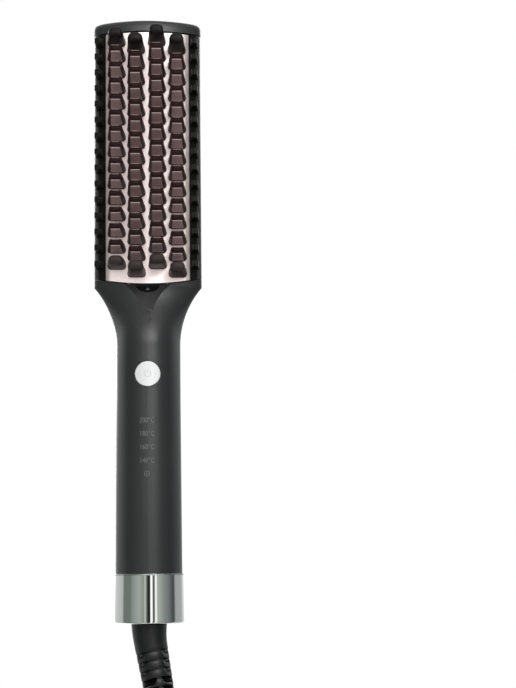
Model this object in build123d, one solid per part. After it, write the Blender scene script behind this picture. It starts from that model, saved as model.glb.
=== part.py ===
from build123d import *
import math
import os

# A heated styling comb. Sizes are in millimetres and degrees.
# Heights run up from the lower edge of the chrome cuff, the teeth point to -Y, +X is to the right.

# Outer form
handle_radius = 14.15
handle_foot_radius = 14.5
foot_taper_top = 96.0
button_height = 107.2
neck_above_button = 13.6
neck_length = 26.2
head_half_width = 23.8
head_front_depth = 8.3
head_rear_depth = 12.4
front_side_pull = 0.33
front_centre_pull = 0.45
round_pull = 0.5523
seam_above_shoulder = 0.4
seam_rise = 3.3
seam_gap = 0.3
head_length = 115.4
end_cap_height = 5.0
end_cap_overhang = 0.3
end_cap_round = 1.4
end_cap_side_round = 2.6
grip_height = 65.0

# Walls and gaps
wall = 2.0
lip_thickness = 0.95
lip_height = 1.5
lip_bottom = 30.0
fit_gap = 0.1
part_gap = 0.2
move_gap = 0.3
running_gap = 0.05

# Cuff and cord swivel
cuff_height = 21.15
cuff_top_radius = 15.05
cuff_bottom_radius = 15.4
spigot_radius = 13.7
spigot_wall = 1.6
cuff_edge_round = 0.8
cuff_lip_height = 1.2
cuff_lip_radius = 9.0
bush_top = 7.0
bush_ring_height = 3.0
bush_ring_wall = 1.1
journal_radius = 7.0
collar_flange_radius = 9.2
collar_flange_thickness = 2.0
stub_radius = 3.2
stub_length = 8.0
slip_ring_wall = 0.95
slip_ring_width = 2.0
slip_ring_pitch = 3.7

# Cord boot, cord and plug
boot_top_radius = 7.75
boot_bend_radius = 7.3
boot_end_radius = 6.1
boot_bend_height = -5.0
boot_tilt = 9.5
boot_tail_length = 40.0
boot_plain_length = 7.3
boot_rib_pitch = 3.6
boot_groove_width = 1.3
boot_groove_depth = 0.8
cord_diameter = 6.0
coil_radius = 33.0
coil_bundle = 18.0
coil_centre = (-9.2, 24.5)
coil_floor = -117.0
tie_slack = 0.4
tie_width = 8.0
tie_thickness = 1.0
plug_length = 36.0
plug_width = 35.0
plug_height = 13.7
plug_rear_width = 14.0
plug_pin_radius = 2.0
plug_pin_length = 19.0
plug_pin_spacing = 18.6

# Heating plate, teeth and guard combs
window_half_width = 18.95
plate_gap = 0.3
plate_wall = 2.0
pad_half_width = 11.0
pad_back = -4.4
tooth_end_margin = 4.5
tooth_pitch = 7.24
first_tooth_rise = 5.6
column_pitch = 9.1
inner_tip = -26.3
outer_tip = -22.4
inner_flange_seat = -9.0
outer_flange_seat = -8.0
flange_width = 8.2
flange_height = 5.4
flange_thickness = 1.0
cap_root_width = 7.6
cap_root_height = 5.0
cap_tip_width = 5.9
cap_tip_height = 3.4
cap_tip_bevel = 0.7
cap_tip_wall = 2.0
core_width = 3.8
core_height = 1.5
boss_width = 6.0
boss_height = 3.6
guard_length = 7.0
guard_root_x = 20.9
guard_root_y = -2.4
guard_lean_left = 11.0
guard_lean_right = 2.0
guard_root_size = 3.6
guard_tip_size = 2.4

# Heater stack behind the plate
heater_half_width = 10.0
heater_thickness = 2.4
heater_above_middle = 1.9
heater_length = 90.0
sensor_rise = 34.0
sensor_length = 11.0
sensor_lead_length = 12.0
shield_half_width = 9.0
clamp_thickness = 1.0
clamp_screw_radius = 1.4
shield_thickness = 0.4
frame_web_front = 1.2
frame_web_thickness = 1.6
frame_rail_width = 2.6
tongue_half_width = 7.0
tongue_length = 17.4

# Button and control board
button_radius = 5.4
button_skirt_radius = 6.5
button_hollow_radius = 4.4
button_proud = 0.3
button_travel = 0.6
stem_radius = 1.6
board_front = -4.5
board_thickness = 1.6
board_half_width = 9.6
board_bottom = 42.0
board_above_button = 14.8
switch_size = 6.0
switch_front = -8.0
plunger_radius = 1.75
plunger_front = -9.3
plunger_length = 2.0
marks_below_button = 20.3
mark_pitch = 5.8
mark_count = 4
mark_window_depth = 1.2
board_end_margin = 12.0
smoothing_capacitor_length = 12.0
smoothing_capacitor_radius = 4.0
film_capacitor_length = 12.0
triac_length = 10.0
chip_length = 10.0
fuse_length = 10.0
rib_pitch = 30.0
screw_radius = 1.2
screw_head_radius = 2.2
boss_radius = 2.6

# Ion outlet under the window
notch_half_width = 5.25
notch_height = 3.4
nozzle_setback = 0.7
nozzle_radius = 1.2
nozzle_rise = 1.7
scoop_radius = 60.0
scoop_depth = 1.1
scoop_length = 15.0

neck_bottom = button_height + neck_above_button
shoulder = neck_bottom + neck_length
seam_low = shoulder + seam_above_shoulder
head_top = seam_low + head_length
first_tooth = seam_low + first_tooth_rise
heater_bottom = seam_low + (head_length - heater_length) / 2 + heater_above_middle
heater_top = heater_bottom + heater_length
tongue_bottom = seam_low - tongue_length
board_top = button_height + board_above_button
board_part_gap = (board_top - board_bottom - 2 * board_end_margin - smoothing_capacitor_length
                  - film_capacitor_length - triac_length - chip_length) / 3
first_mark = button_height - marks_below_button - (mark_count - 1) * mark_pitch
inner_radius = handle_radius - wall
seam_radius = (head_half_width ** 2 + seam_rise ** 2) / (2 * seam_rise)
board_back = board_front + board_thickness
plate_inset = plate_gap + plate_wall
stagger = tooth_pitch / 2
tooth_rows = 1 + int((head_length - first_tooth_rise - stagger - tooth_end_margin) / tooth_pitch)
reach = 2 * head_top

os.makedirs("parts", exist_ok=True)


# Shared helpers

def save(node, shape):
    export_step(Pos(0, 0, -grip_height) * shape, f"parts/{node}.step")


def block(left, right, front, back, bottom, top):
    middle = Pos((left + right) / 2, (front + back) / 2, (bottom + top) / 2)
    return middle * Box(right - left, back - front, top - bottom)


def upright_rod(radius, bottom, top, x=0, y=0):
    return Pos(x, y, (bottom + top) / 2) * Cylinder(radius, top - bottom)


def forward_rod(radius, front, back, x, z):
    return Pos(x, (front + back) / 2, z) * Rot(90, 0, 0) * Cylinder(radius, back - front)


def turned(points):
    outline = make_face(Plane.XZ * Polyline(*points, close=True))
    return revolve(outline, Axis.Z)


def tube(outer, inner, bottom, top):
    return upright_rod(outer, bottom, top) - upright_rod(inner, bottom, top)


def front_side(shape, limit=0):
    return shape & block(-reach, reach, -reach, limit, -reach, reach)


def rear_side(shape, limit=0):
    return shape & block(-reach, reach, limit, reach, -reach, reach)


def section(height, half_width, front, rear, side_pull, centre_pull):
    width = half_width
    edges = [
        Bezier((width, 0, height), (width, round_pull * rear, height),
               (round_pull * width, rear, height), (0, rear, height)),
        Bezier((0, rear, height), (-round_pull * width, rear, height),
               (-width, round_pull * rear, height), (-width, 0, height)),
        Bezier((-width, 0, height), (-width, -side_pull * front, height),
               (-centre_pull * width, -front, height), (0, -front, height)),
        Bezier((0, -front, height), (centre_pull * width, -front, height),
               (width, -side_pull * front, height), (width, 0, height)),
    ]
    return Face(Wire(edges))


def round_section(height, radius):
    return section(height, radius, radius, radius, round_pull, round_pull)


def head_section(height, inset):
    return section(height, head_half_width - inset, head_front_depth - inset,
                   head_rear_depth - inset, front_side_pull, front_centre_pull)


def head_prism(inset, bottom, top):
    return extrude(head_section(bottom, inset), top - bottom, dir=(0, 0, 1))


def seam_drum(gap):
    centre = seam_low + seam_radius
    return forward_rod(seam_radius - gap, -reach, reach, 0, centre)


# Handle and neck

def neck_section(share, inset):
    growth = head_half_width - handle_radius
    bend = (neck_length ** 2 + growth ** 2) / (2 * growth)
    width = handle_radius + bend - math.sqrt(bend ** 2 - (share * neck_length) ** 2)
    ease = share * share * (3 - 2 * share)
    front = handle_radius + ease * (head_front_depth - handle_radius)
    rear = handle_radius + ease * (head_rear_depth - handle_radius)
    side_pull = round_pull + ease * (front_side_pull - round_pull)
    centre_pull = round_pull + ease * (front_centre_pull - round_pull)
    return section(neck_bottom + share * neck_length, width - inset, front - inset, rear - inset,
                   side_pull, centre_pull)


def handle_body(inset, bottom):
    foot = loft([round_section(bottom, handle_foot_radius - inset),
                 round_section(foot_taper_top, handle_radius - inset)], ruled=True)
    grip = extrude(round_section(foot_taper_top, handle_radius - inset),
                   neck_bottom - foot_taper_top, dir=(0, 0, 1))
    neck = loft([neck_section(share, inset) for share in (0, 0.2, 0.4, 0.6, 0.8, 1.0)])
    rim = head_prism(inset, shoulder, shoulder + seam_rise + 1)
    return foot + grip + neck + rim - seam_drum(0)


handle_outer = handle_body(0, cuff_height)
handle_inner = handle_body(wall, cuff_height - 1) + upright_rod(spigot_radius - spigot_wall,
                                                              bush_top - 1, cuff_height)
handle_spigot = upright_rod(spigot_radius, bush_top + fit_gap, cuff_height + 1)
handle_shell = handle_outer + handle_spigot - handle_inner


def front_neck_depth(height):
    share = (height - neck_bottom) / neck_length
    ease = share * share * (3 - 2 * share)
    return handle_radius + ease * (head_front_depth - handle_radius)


def scoop_cutter():
    top = seam_low - notch_height
    low = top - scoop_length
    top_y = -front_neck_depth(top) + scoop_depth
    low_y = -front_neck_depth(low)
    lean = math.degrees(math.atan2(top_y - low_y, top - low))
    run = scoop_length + notch_height + seam_rise
    cutter = Pos(0, -scoop_radius, 0) * Cylinder(scoop_radius, 2 * run)
    return Pos(0, low_y, low) * Rot(-lean, 0, 0) * cutter


def notch_cutter():
    outline = Plane.XZ * Pos(0, seam_low) * Ellipse(notch_half_width, notch_height)
    return extrude(outline, reach, both=True) & block(-reach, reach, -reach, 0, 0, reach)


def boss(height, x, front, back):
    return forward_rod(boss_radius, front, back, x, height)


def board_screw_places():
    return [(board_bottom + 4, 0), (board_top - 5, 6.0), (board_top - 5, -6.0)]


def tongue_screw_places():
    return [(tongue_bottom + 4, 0)]


def handle_front():
    shell = front_side(handle_shell)
    groove = upright_rod(inner_radius + lip_thickness, lip_bottom, neck_bottom)
    shell -= rear_side(groove, -lip_height - fit_gap)
    shell -= forward_rod(button_radius + move_gap, -reach, 0, 0, button_height)
    shell -= notch_cutter()
    shell -= scoop_cutter()
    for step in range(mark_count):
        height = first_mark + step * mark_pitch
        back = -handle_radius + mark_window_depth
        shell -= block(-3.2, 3.2, back, -inner_radius + 1, height - 1.6, height + 1.6)
    posts = Part()
    for height, x in board_screw_places():
        posts += boss(height, x, -handle_radius, board_front)
    for height, x in tongue_screw_places():
        posts += boss(height, x, -handle_radius, frame_web_front)
    posts &= handle_outer
    for height, x in board_screw_places() + tongue_screw_places():
        posts -= forward_rod(screw_radius + fit_gap, -inner_radius, reach, x, height)
    return shell + posts


def handle_rear():
    shell = rear_side(handle_shell)
    tongue = upright_rod(inner_radius + lip_thickness - fit_gap, lip_bottom + fit_gap,
                         neck_bottom - fit_gap) - handle_inner
    shell += tongue & block(-reach, reach, -lip_height, fit_gap, 0, neck_bottom)
    for step in range(3):
        height = board_bottom + 8 + step * rib_pitch
        rib = handle_inner & block(-reach, reach, 6.0, reach, height, height + 1.4)
        shell += rib - block(-6.0, 6.0, 0, inner_radius - 2.4, 0, reach)
    return shell


save("handle_front", handle_front())
save("handle_rear", handle_rear())


# Chrome cuff and swivel

def cuff_sleeve():
    bore = spigot_radius + running_gap
    return turned([(cuff_lip_radius, 0), (cuff_bottom_radius - cuff_edge_round, 0),
                   (cuff_bottom_radius - 0.3 * cuff_edge_round, 0.3 * cuff_edge_round),
                   (cuff_bottom_radius, cuff_edge_round),
                   (cuff_top_radius, cuff_height), (bore, cuff_height),
                   (bore, cuff_lip_height), (cuff_lip_radius, cuff_lip_height)])


def end_bush():
    body = tube(spigot_radius, journal_radius + running_gap, cuff_lip_height, bush_top)
    outside = spigot_radius - spigot_wall - fit_gap
    return body + tube(outside, outside - bush_ring_wall, bush_top, bush_top + bush_ring_height)


flange_bottom = bush_top + move_gap
flange_top = flange_bottom + collar_flange_thickness
first_ring = flange_top + 1.0


def swivel_collar():
    journal = upright_rod(journal_radius, -move_gap, flange_bottom)
    flange = upright_rod(collar_flange_radius, flange_bottom, flange_top)
    stub = upright_rod(stub_radius, flange_top, flange_top + stub_length)
    collar = stub_radius + slip_ring_wall + 0.4
    middle = first_ring + slip_ring_width + fit_gap
    spacer = upright_rod(collar, middle, first_ring + slip_ring_pitch - fit_gap)
    return journal + flange + stub + spacer


def slip_rings():
    inner = stub_radius + running_gap
    rings = [tube(inner + slip_ring_wall, inner, first_ring + step * slip_ring_pitch,
                  first_ring + step * slip_ring_pitch + slip_ring_width) for step in (0, 1)]
    return Compound(rings)


contact_front = stub_radius + running_gap + slip_ring_wall + move_gap
contact_back = 7.5


def contact_springs():
    springs = []
    for step in (0, 1):
        bottom = first_ring + step * slip_ring_pitch + 0.2
        top = bottom + slip_ring_width - 0.4
        leaf = block(-3.6, 3.6, contact_front, contact_front + 0.4, bottom, top)
        leg = block(3.2, 3.6, contact_front, contact_back, bottom, top)
        springs.append(leaf + leg)
    return Compound(springs)


def contact_block():
    body = block(-5.0, 5.0, contact_back, 10.3, first_ring, first_ring + 9.0)
    return body - block(-3.0, 3.0, contact_back, contact_back + 1.2, first_ring + 1, first_ring + 8)


save("cuff_sleeve", cuff_sleeve())
save("end_bush", end_bush())
save("swivel_collar", swivel_collar())
save("slip_rings", slip_rings())
save("contact_springs", contact_springs())
save("contact_block", contact_block())


# Cord boot, cord and plug

def boot_radius(along):
    share = along / boot_tail_length
    return boot_bend_radius + share * (boot_end_radius - boot_bend_radius)


def boot_tail():
    points = [(0, 0), (boot_bend_radius, 0)]
    along = boot_plain_length
    while along + boot_rib_pitch < boot_tail_length:
        bottom = along + boot_groove_width
        points += [(boot_radius(along), -along), (boot_radius(along) - boot_groove_depth, -along),
                   (boot_radius(bottom) - boot_groove_depth, -bottom), (boot_radius(bottom), -bottom)]
        along += boot_rib_pitch
    points += [(boot_end_radius, -boot_tail_length), (0, -boot_tail_length)]
    return turned(points)


boot_place = Pos(0, 0, boot_bend_height) * Rot(0, -boot_tilt, 0)


def cord_boot():
    top = turned([(0, -move_gap), (boot_top_radius, -move_gap), (boot_bend_radius, boot_bend_height),
                  (0, boot_bend_height)])
    ball = Pos(0, 0, boot_bend_height) * Sphere(boot_bend_radius)
    ball &= block(-reach, reach, -reach, reach, boot_bend_height - 9, boot_bend_height)
    return top + ball + boot_place * boot_tail()


save("cord_boot", cord_boot())

tilt = math.radians(boot_tilt)
boot_exit = (boot_tail_length * math.sin(tilt), 0,
             boot_bend_height - boot_tail_length * math.cos(tilt))

boot_run = 15.4

# The lead comes down from the boot and turns into the coil, the tail rises from it to the plug.
lead_points = [
    boot_exit,
    (boot_exit[0] + boot_run * math.sin(tilt), 0, boot_exit[2] - boot_run * math.cos(tilt)),
    (15.1, 2.7, -74.3),
    (21.5, 10.6, -86.5),
    (24.1, 23.4, -95.1),
    (20.9, 37.9, -99.7),
    (11.3, 50.4, -101.5),
]

tail_points = [
    (-6.3, 57.4, -103.0),
    (-20.5, 55.5, -101.0),
    (-32.5, 47.8, -97.8),
    (-40.2, 35.8, -94.0),
    (-42.2, 22.5, -92.0),
    (-42.2, 12.0, -92.0),
]


def cord_radii(points):
    radii = []
    for before, point, after in zip(points, points[1:], points[2:]):
        run_in = Vector(*point) - Vector(*before)
        run_out = Vector(*after) - Vector(*point)
        turn = math.radians(run_in.get_angle(run_out))
        radii.append(0.45 * min(run_in.length, run_out.length) / math.tan(turn / 2))
    return radii


def cord_tube(name, points):
    radii = cord_radii(points)
    path = FilletPolyline(*points, radius=radii)
    start = Plane(origin=points[0], z_dir=path % 0)
    solid = sweep(start * Circle(cord_diameter / 2), path=path)
    expected = math.pi * (cord_diameter / 2) ** 2 * path.length
    print(name, "radii", [round(radius) for radius in radii], "length", round(path.length, 1),
          "volume ratio", round(solid.volume / expected, 4))
    return solid


def cord_coil():
    middle = coil_floor + coil_bundle / 2
    outline = Plane.XZ * Pos(coil_radius, middle) * RectangleRounded(coil_bundle, coil_bundle, 4)
    return Pos(coil_centre[0], coil_centre[1], 0) * revolve(outline, Axis.Z)


def cord_tie():
    middle = coil_floor + coil_bundle / 2
    inside = coil_bundle + 2 * tie_slack
    outside = inside + 2 * tie_thickness
    loop = Box(tie_width, outside, outside) - Box(tie_width, inside, inside)
    knob = Pos(0, 0, outside / 2 + 1) * Box(tie_width - 3, 5, 2)
    return Pos(coil_centre[0], coil_centre[1] - coil_radius, middle) * (loop + knob)


plug_rear = tail_points[-1]


def plug_body():
    low = plug_rear[2] - plug_height / 2
    high = plug_rear[2] + plug_height / 2
    rear = plug_rear[1]
    front = rear - plug_length
    half = plug_width / 2
    tail = plug_rear_width / 2
    outline = [(-tail, rear), (tail, rear), (half, rear - 0.62 * plug_length), (half, front),
               (-half, front), (-half, rear - 0.62 * plug_length)]
    flat = make_face(Polyline(*outline, close=True))
    body = extrude(Pos(plug_rear[0], 0, low) * flat, high - low)
    body = fillet(body.edges().filter_by(Axis.Z), 2.5)
    return body


def plug_pins():
    front = plug_rear[1] - plug_length
    return Compound([forward_rod(plug_pin_radius, front - plug_pin_length, front,
                                 plug_rear[0] + side * plug_pin_spacing / 2, plug_rear[2])
                     for side in (-1, 1)])


save("cord_lead", cord_tube("cord_lead", lead_points))
save("cord_tail", cord_tube("cord_tail", tail_points))
save("cord_coil", cord_coil())
save("cord_tie", cord_tie())
save("plug_body", plug_body())
save("plug_pins", plug_pins())


# Head: rear cover, end cap and inner frame

cover_front = 0.0
cover_top = head_top - seam_gap


def in_head(shape, gap=seam_gap):
    return shape & seam_drum(gap)


def head_cover():
    shell = head_prism(0, seam_low, cover_top) - head_prism(wall, seam_low - 1, cover_top + 1)
    shell = rear_side(shell, cover_front)
    web_back = frame_web_front + frame_web_thickness
    for height in (seam_low + 12, head_top - 12):
        for side in (-1, 1):
            x = side * 12.0
            post = forward_rod(boss_radius, web_back, head_rear_depth, x, height)
            shell += post & head_prism(wall / 2, seam_low, cover_top)
            shell -= forward_rod(screw_radius, web_back, web_back + 4.5, x, height)
    return in_head(shell)


def cap_section(crown, angle):
    share = 1 - math.cos(angle)
    depth = end_cap_round * share - end_cap_overhang
    width = head_half_width + end_cap_overhang - end_cap_side_round * share
    return section(crown + end_cap_side_round * math.sin(angle), width, head_front_depth - depth,
                   head_rear_depth - depth, front_side_pull, front_centre_pull)


def end_cap():
    crown = head_top + end_cap_height - end_cap_side_round
    body = head_prism(-end_cap_overhang, head_top, crown)
    rounds = [math.radians(angle) for angle in (0, 25, 50, 75, 90)]
    body += loft([cap_section(crown, angle) for angle in rounds], ruled=True)
    spigot = head_prism(wall + fit_gap, head_top - 3.5, head_top)
    spigot -= head_prism(wall + fit_gap + 1.5, head_top - 4, head_top)
    spigot = rear_side(spigot, frame_web_front + frame_web_thickness + part_gap)
    return body + spigot


def head_frame():
    bottom = seam_low + 3.4
    top = head_top - 4.0
    web_back = frame_web_front + frame_web_thickness
    inside = head_prism(plate_inset + part_gap, seam_low - 1, head_top)
    rail_out = window_half_width - plate_gap
    web = block(-reach, reach, frame_web_front, web_back, bottom, top)
    frame = web & inside
    for side in (-1, 1):
        near, far = sorted((side * (rail_out - frame_rail_width), side * rail_out))
        frame += block(near, far, -reach, web_back, bottom, top) & inside
    frame += block(-tongue_half_width, tongue_half_width, frame_web_front, web_back,
                   tongue_bottom, bottom + 1)
    for height, x in tongue_screw_places():
        frame -= forward_rod(screw_radius + fit_gap, 0, reach, x, height)
    for height in (seam_low + 12, head_top - 12):
        for side in (-1, 1):
            frame -= forward_rod(screw_radius + fit_gap, 0, reach, side * 12.0, height)
    frame -= block(-4.0, 4.0, 0, reach, heater_bottom - 7, heater_bottom - 3)
    return frame


save("head_cover", head_cover())
save("end_cap", end_cap())
save("head_frame", head_frame())


# Guard combs along both sides of the window

def guard_tooth(side, height):
    lean = guard_lean_right if side > 0 else -guard_lean_left
    root = Rectangle(guard_root_size, guard_root_size)
    tip = Pos(0, 0, guard_length) * Rectangle(guard_tip_size, guard_tip_size)
    tooth = loft([Sketch() + root, Sketch() + tip])
    place = Pos(side * guard_root_x, guard_root_y, height) * Rot(0, 0, lean)
    return place * Rot(90, 0, 0) * tooth


def guard_heights():
    return [first_tooth + stagger + row * tooth_pitch for row in range(tooth_rows)]


def side_comb(side):
    strip = head_prism(0, seam_low, cover_top) - head_prism(wall, seam_low - 1, cover_top + 1)
    near, far = sorted((side * window_half_width, side * reach))
    strip &= block(near, far, -reach, cover_front - fit_gap, 0, reach)
    strip = in_head(strip)
    for height in guard_heights():
        strip += guard_tooth(side, height)
    return strip


save("side_comb_left", side_comb(-1))
save("side_comb_right", side_comb(1))


# Heating plate with a metal core for each tooth, and the caps on the cores

columns = [
    ("outer_left", -1.5 * column_pitch, stagger, outer_flange_seat, outer_tip),
    ("inner_left", -0.5 * column_pitch, 0.0, inner_flange_seat, inner_tip),
    ("inner_right", 0.5 * column_pitch, stagger, inner_flange_seat, inner_tip),
    ("outer_right", 1.5 * column_pitch, 0.0, outer_flange_seat, outer_tip),
]


def tooth_heights(offset):
    return [first_tooth + offset + row * tooth_pitch for row in range(tooth_rows)]


def cornered(width, height, corner):
    return chamfer(Rectangle(width, height).vertices(), corner)


def tooth_cap(length):
    flange = extrude(cornered(flange_width, flange_height, 1.3), flange_thickness)
    body = loft([
        Pos(0, 0, flange_thickness) * cornered(cap_root_width, cap_root_height, 1.0),
        Pos(0, 0, length - cap_tip_bevel) * cornered(cap_tip_width, cap_tip_height, 0.8),
        Pos(0, 0, length) * cornered(cap_tip_width - 1.4, cap_tip_height - 1.2, 0.4),
    ], ruled=True)
    pocket = block(-core_width / 2 - fit_gap, core_width / 2 + fit_gap,
                   -core_height / 2 - fit_gap, core_height / 2 + fit_gap, 0, length - cap_tip_wall)
    return Rot(90, 0, 0) * (flange + body - pocket)


def heating_plate():
    bottom = seam_low
    top = cover_top - plate_gap
    plate = head_prism(plate_gap, bottom, top) - head_prism(plate_inset, bottom - 1, top + 1)
    half = window_half_width - plate_gap
    plate &= block(-half, half, -reach, 0, 0, reach)
    pad = head_prism(plate_gap + 1, heater_bottom - 6, heater_top + 4)
    plate += pad & block(-pad_half_width, pad_half_width, -reach, pad_back, 0, reach)
    posts = []
    for _, x, offset, seat, tip in columns:
        for height in tooth_heights(offset):
            posts.append(block(x - boss_width / 2, x + boss_width / 2, seat, pad_back - 1,
                               height - boss_height / 2, height + boss_height / 2))
            posts.append(block(x - core_width / 2, x + core_width / 2, tip + cap_tip_wall, seat + 1,
                               height - core_height / 2, height + core_height / 2))
    plate = plate + posts
    plate -= head_prism(plate_inset, bottom - 1, top + 1) & block(
        pad_half_width, reach, -reach, reach, 0, reach)
    plate -= head_prism(plate_inset, bottom - 1, top + 1) & block(
        -reach, -pad_half_width, -reach, reach, 0, reach)
    for height, x in clamp_screw_places():
        plate -= forward_rod(clamp_screw_radius + fit_gap, pad_back - 2.2, 0, x, height)
    return in_head(plate, seam_gap + plate_gap)


def clamp_screw_places():
    return [(heater_bottom - 3, 0.0), (heater_top + 2, 0.0)]


def tooth_caps(x, offset, seat, tip):
    cap = tooth_cap(seat - tip)
    return Compound([Pos(x, seat, height) * cap for height in tooth_heights(offset)])


save("heating_plate", heating_plate())
for name, x, offset, seat, tip in columns:
    save("tooth_caps_" + name, tooth_caps(x, offset, seat, tip))


# Heater stack

heater_back = pad_back + heater_thickness
clamp_back = heater_back + clamp_thickness


def ceramic_heater():
    return block(-heater_half_width, heater_half_width, pad_back, heater_back, heater_bottom, heater_top)


def heater_clamp():
    plate = block(-heater_half_width, heater_half_width, heater_back, clamp_back,
                  heater_bottom - 5, heater_top + 4)
    for low, high in ((heater_bottom - 5, heater_bottom - fit_gap), (heater_top + fit_gap, heater_top + 4)):
        plate += block(-4.0, 4.0, pad_back, heater_back, low, high)
    for height, x in clamp_screw_places():
        plate -= forward_rod(clamp_screw_radius + fit_gap, pad_back - 1, reach, x, height)
    return plate


def clamp_screws():
    screws = []
    for height, x in clamp_screw_places():
        shank = forward_rod(clamp_screw_radius, pad_back - 2.0, clamp_back, x, height)
        head = forward_rod(clamp_screw_radius + 1.2, clamp_back, clamp_back + 1.2, x, height)
        screws.append(shank + head)
    return Compound(screws)


def thermal_fuse():
    bottom = heater_bottom + sensor_rise
    return upright_rod(1.0, bottom, bottom + sensor_length, 4.0, clamp_back + 1.0 + fit_gap)


def thermistor():
    back = clamp_back + 0.9 + fit_gap
    height = heater_bottom + sensor_rise + 4.0
    bead = Pos(-4.0, back, height) * Sphere(0.9)
    return bead + upright_rod(0.4, height - sensor_lead_length, height, -4.0, back)


def heat_shield():
    inside = head_prism(wall + part_gap, seam_low, head_top)
    back = frame_web_front + frame_web_thickness
    sheet = block(-shield_half_width, shield_half_width, back, back + shield_thickness,
                  heater_bottom - 1, heater_top)
    return sheet & inside


save("ceramic_heater", ceramic_heater())
save("heater_clamp", heater_clamp())
save("clamp_screws", clamp_screws())
save("thermal_fuse", thermal_fuse())
save("thermistor", thermistor())
save("heat_shield", heat_shield())


# Screws of the frame, cover and control board

def screw(height, x, front, seat):
    shank = forward_rod(screw_radius, front, seat, x, height)
    return shank + forward_rod(screw_head_radius, seat, seat + 1.4, x, height)


def board_screws():
    return Compound([screw(height, x, board_front - 5, board_back) for height, x in board_screw_places()])


def frame_screws():
    web_back = frame_web_front + frame_web_thickness
    return Compound([screw(height, x, frame_web_front - 6, web_back) for height, x in tongue_screw_places()])


save("board_screws", board_screws())
save("frame_screws", frame_screws())


# Button, switch and control board

def button():
    rim = handle_radius + button_proud
    stop = -inner_radius + move_gap + 1.0
    skirt_back = switch_front - button_travel - part_gap
    cap = forward_rod(button_radius, -rim - 1, skirt_back, 0, button_height)
    cap &= upright_rod(rim, 0, neck_bottom)
    skirt = forward_rod(button_skirt_radius, -rim, skirt_back, 0, button_height)
    skirt &= upright_rod(inner_radius - move_gap, 0, neck_bottom)
    hollow = forward_rod(button_hollow_radius, stop, 0, 0, button_height)
    stem = forward_rod(stem_radius, stop, plunger_front, 0, button_height)
    return cap + skirt - hollow + stem


def switch_plunger():
    return forward_rod(plunger_radius, plunger_front, plunger_front + plunger_length, 0, button_height)


def tact_switch():
    half = switch_size / 2
    body = block(-half, half, switch_front, board_front, button_height - half, button_height + half)
    depth = plunger_front + plunger_length + button_travel + move_gap
    return body - forward_rod(plunger_radius + running_gap, switch_front, depth, 0, button_height)


def control_board():
    board = block(-board_half_width, board_half_width, board_front, board_back, board_bottom, board_top)
    for height, x in board_screw_places():
        board -= forward_rod(screw_radius + fit_gap, board_front, board_back, x, height)
    return board


def mark_heights():
    return [first_mark + step * mark_pitch for step in range(mark_count)]


def indicator_leds():
    return Compound([block(-1.6, 1.6, board_front - 1.2, board_front, height - 0.8, height + 0.8)
                     for height in mark_heights()])


def light_guide():
    heights = mark_heights()
    front = board_front - 3.6
    bar = block(-4.0, 4.0, front, front + 1.6, heights[0] - 3.0, heights[-1] + 3.0)
    for height in heights:
        bar += block(-2.6, 2.6, -inner_radius + part_gap, front, height - 1.2, height + 1.2)
        bar -= block(-1.9, 1.9, front + 0.8, front + 1.6, height - 1.1, height + 1.1)
    for height in (heights[0] - 3.0, heights[-1] + 1.6):
        bar += block(-4.0, 4.0, front, board_front, height, height + 1.4)
    return bar


save("button", button())
save("switch_plunger", switch_plunger())
save("tact_switch", tact_switch())
save("control_board", control_board())
save("indicator_leds", indicator_leds())
save("light_guide", light_guide())


# Parts soldered to the back of the board, one above the other

smoothing_bottom = board_bottom + board_end_margin
film_bottom = smoothing_bottom + smoothing_capacitor_length + board_part_gap
triac_bottom = film_bottom + film_capacitor_length + board_part_gap
chip_bottom = triac_bottom + triac_length + board_part_gap

def on_board(width, depth, bottom, top, x=0.0):
    return block(x - width / 2, x + width / 2, board_back, board_back + depth, bottom, top)


def smoothing_capacitor():
    radius = smoothing_capacitor_radius
    top = smoothing_bottom + smoothing_capacitor_length
    return upright_rod(radius, smoothing_bottom, top, 3.4, board_back + radius)


def supply_leads():
    leads = []
    for side in (-1, 1):
        route = [(side * 2.0, 9.2, first_ring + 9.0), (side * 2.0, 9.2, board_bottom - 12),
                 (side * 3.4, 3.0, board_bottom - 4), (side * 3.6, board_back + 0.8, board_bottom + 8)]
        path = FilletPolyline(*route, radius=3.0)
        start = Plane(origin=route[0], z_dir=path % 0)
        leads.append(sweep(start * Circle(0.8), path=path))
    return Compound(leads)


def heater_leads():
    leads = []
    for side in (-1, 1):
        route = [(side * 2.2, board_back + 0.8, board_top - 9), (side * 2.2, board_back + 0.8, board_top + 2),
                 (side * 8.6, -0.5, seam_low - 7), (side * 8.6, -0.2, heater_bottom + 4)]
        path = FilletPolyline(*route, radius=4.0)
        start = Plane(origin=route[0], z_dir=path % 0)
        leads.append(sweep(start * Circle(0.7), path=path))
    return Compound(leads)


save("film_capacitor", on_board(9.0, 7.0, film_bottom, film_bottom + film_capacitor_length))
save("smoothing_capacitor", smoothing_capacitor())
save("triac", on_board(7.0, 2.4, triac_bottom, triac_bottom + triac_length, -3.0))
save("controller_chip", on_board(6.0, 1.4, chip_bottom, chip_bottom + chip_length))
save("board_fuse", on_board(3.6, 3.6, smoothing_bottom + 2, smoothing_bottom + 2 + fuse_length, -5.0))
save("supply_leads", supply_leads())
save("heater_leads", heater_leads())


# Ion outlet

nozzle_front = -head_front_depth + wall + nozzle_setback
nozzle_height = seam_low - notch_height + nozzle_rise
generator_front = nozzle_front + 4.4


def ion_nozzle():
    half = notch_half_width + 0.6
    plate = block(-half, half, nozzle_front, nozzle_front + 1.2,
                  seam_low - notch_height - 1.5, seam_low - 0.4)
    return plate - forward_rod(nozzle_radius, nozzle_front, nozzle_front + 1.2, 0, nozzle_height)


def ion_needle():
    return forward_rod(0.5, nozzle_front + 0.4, generator_front, 0, nozzle_height)


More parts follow.
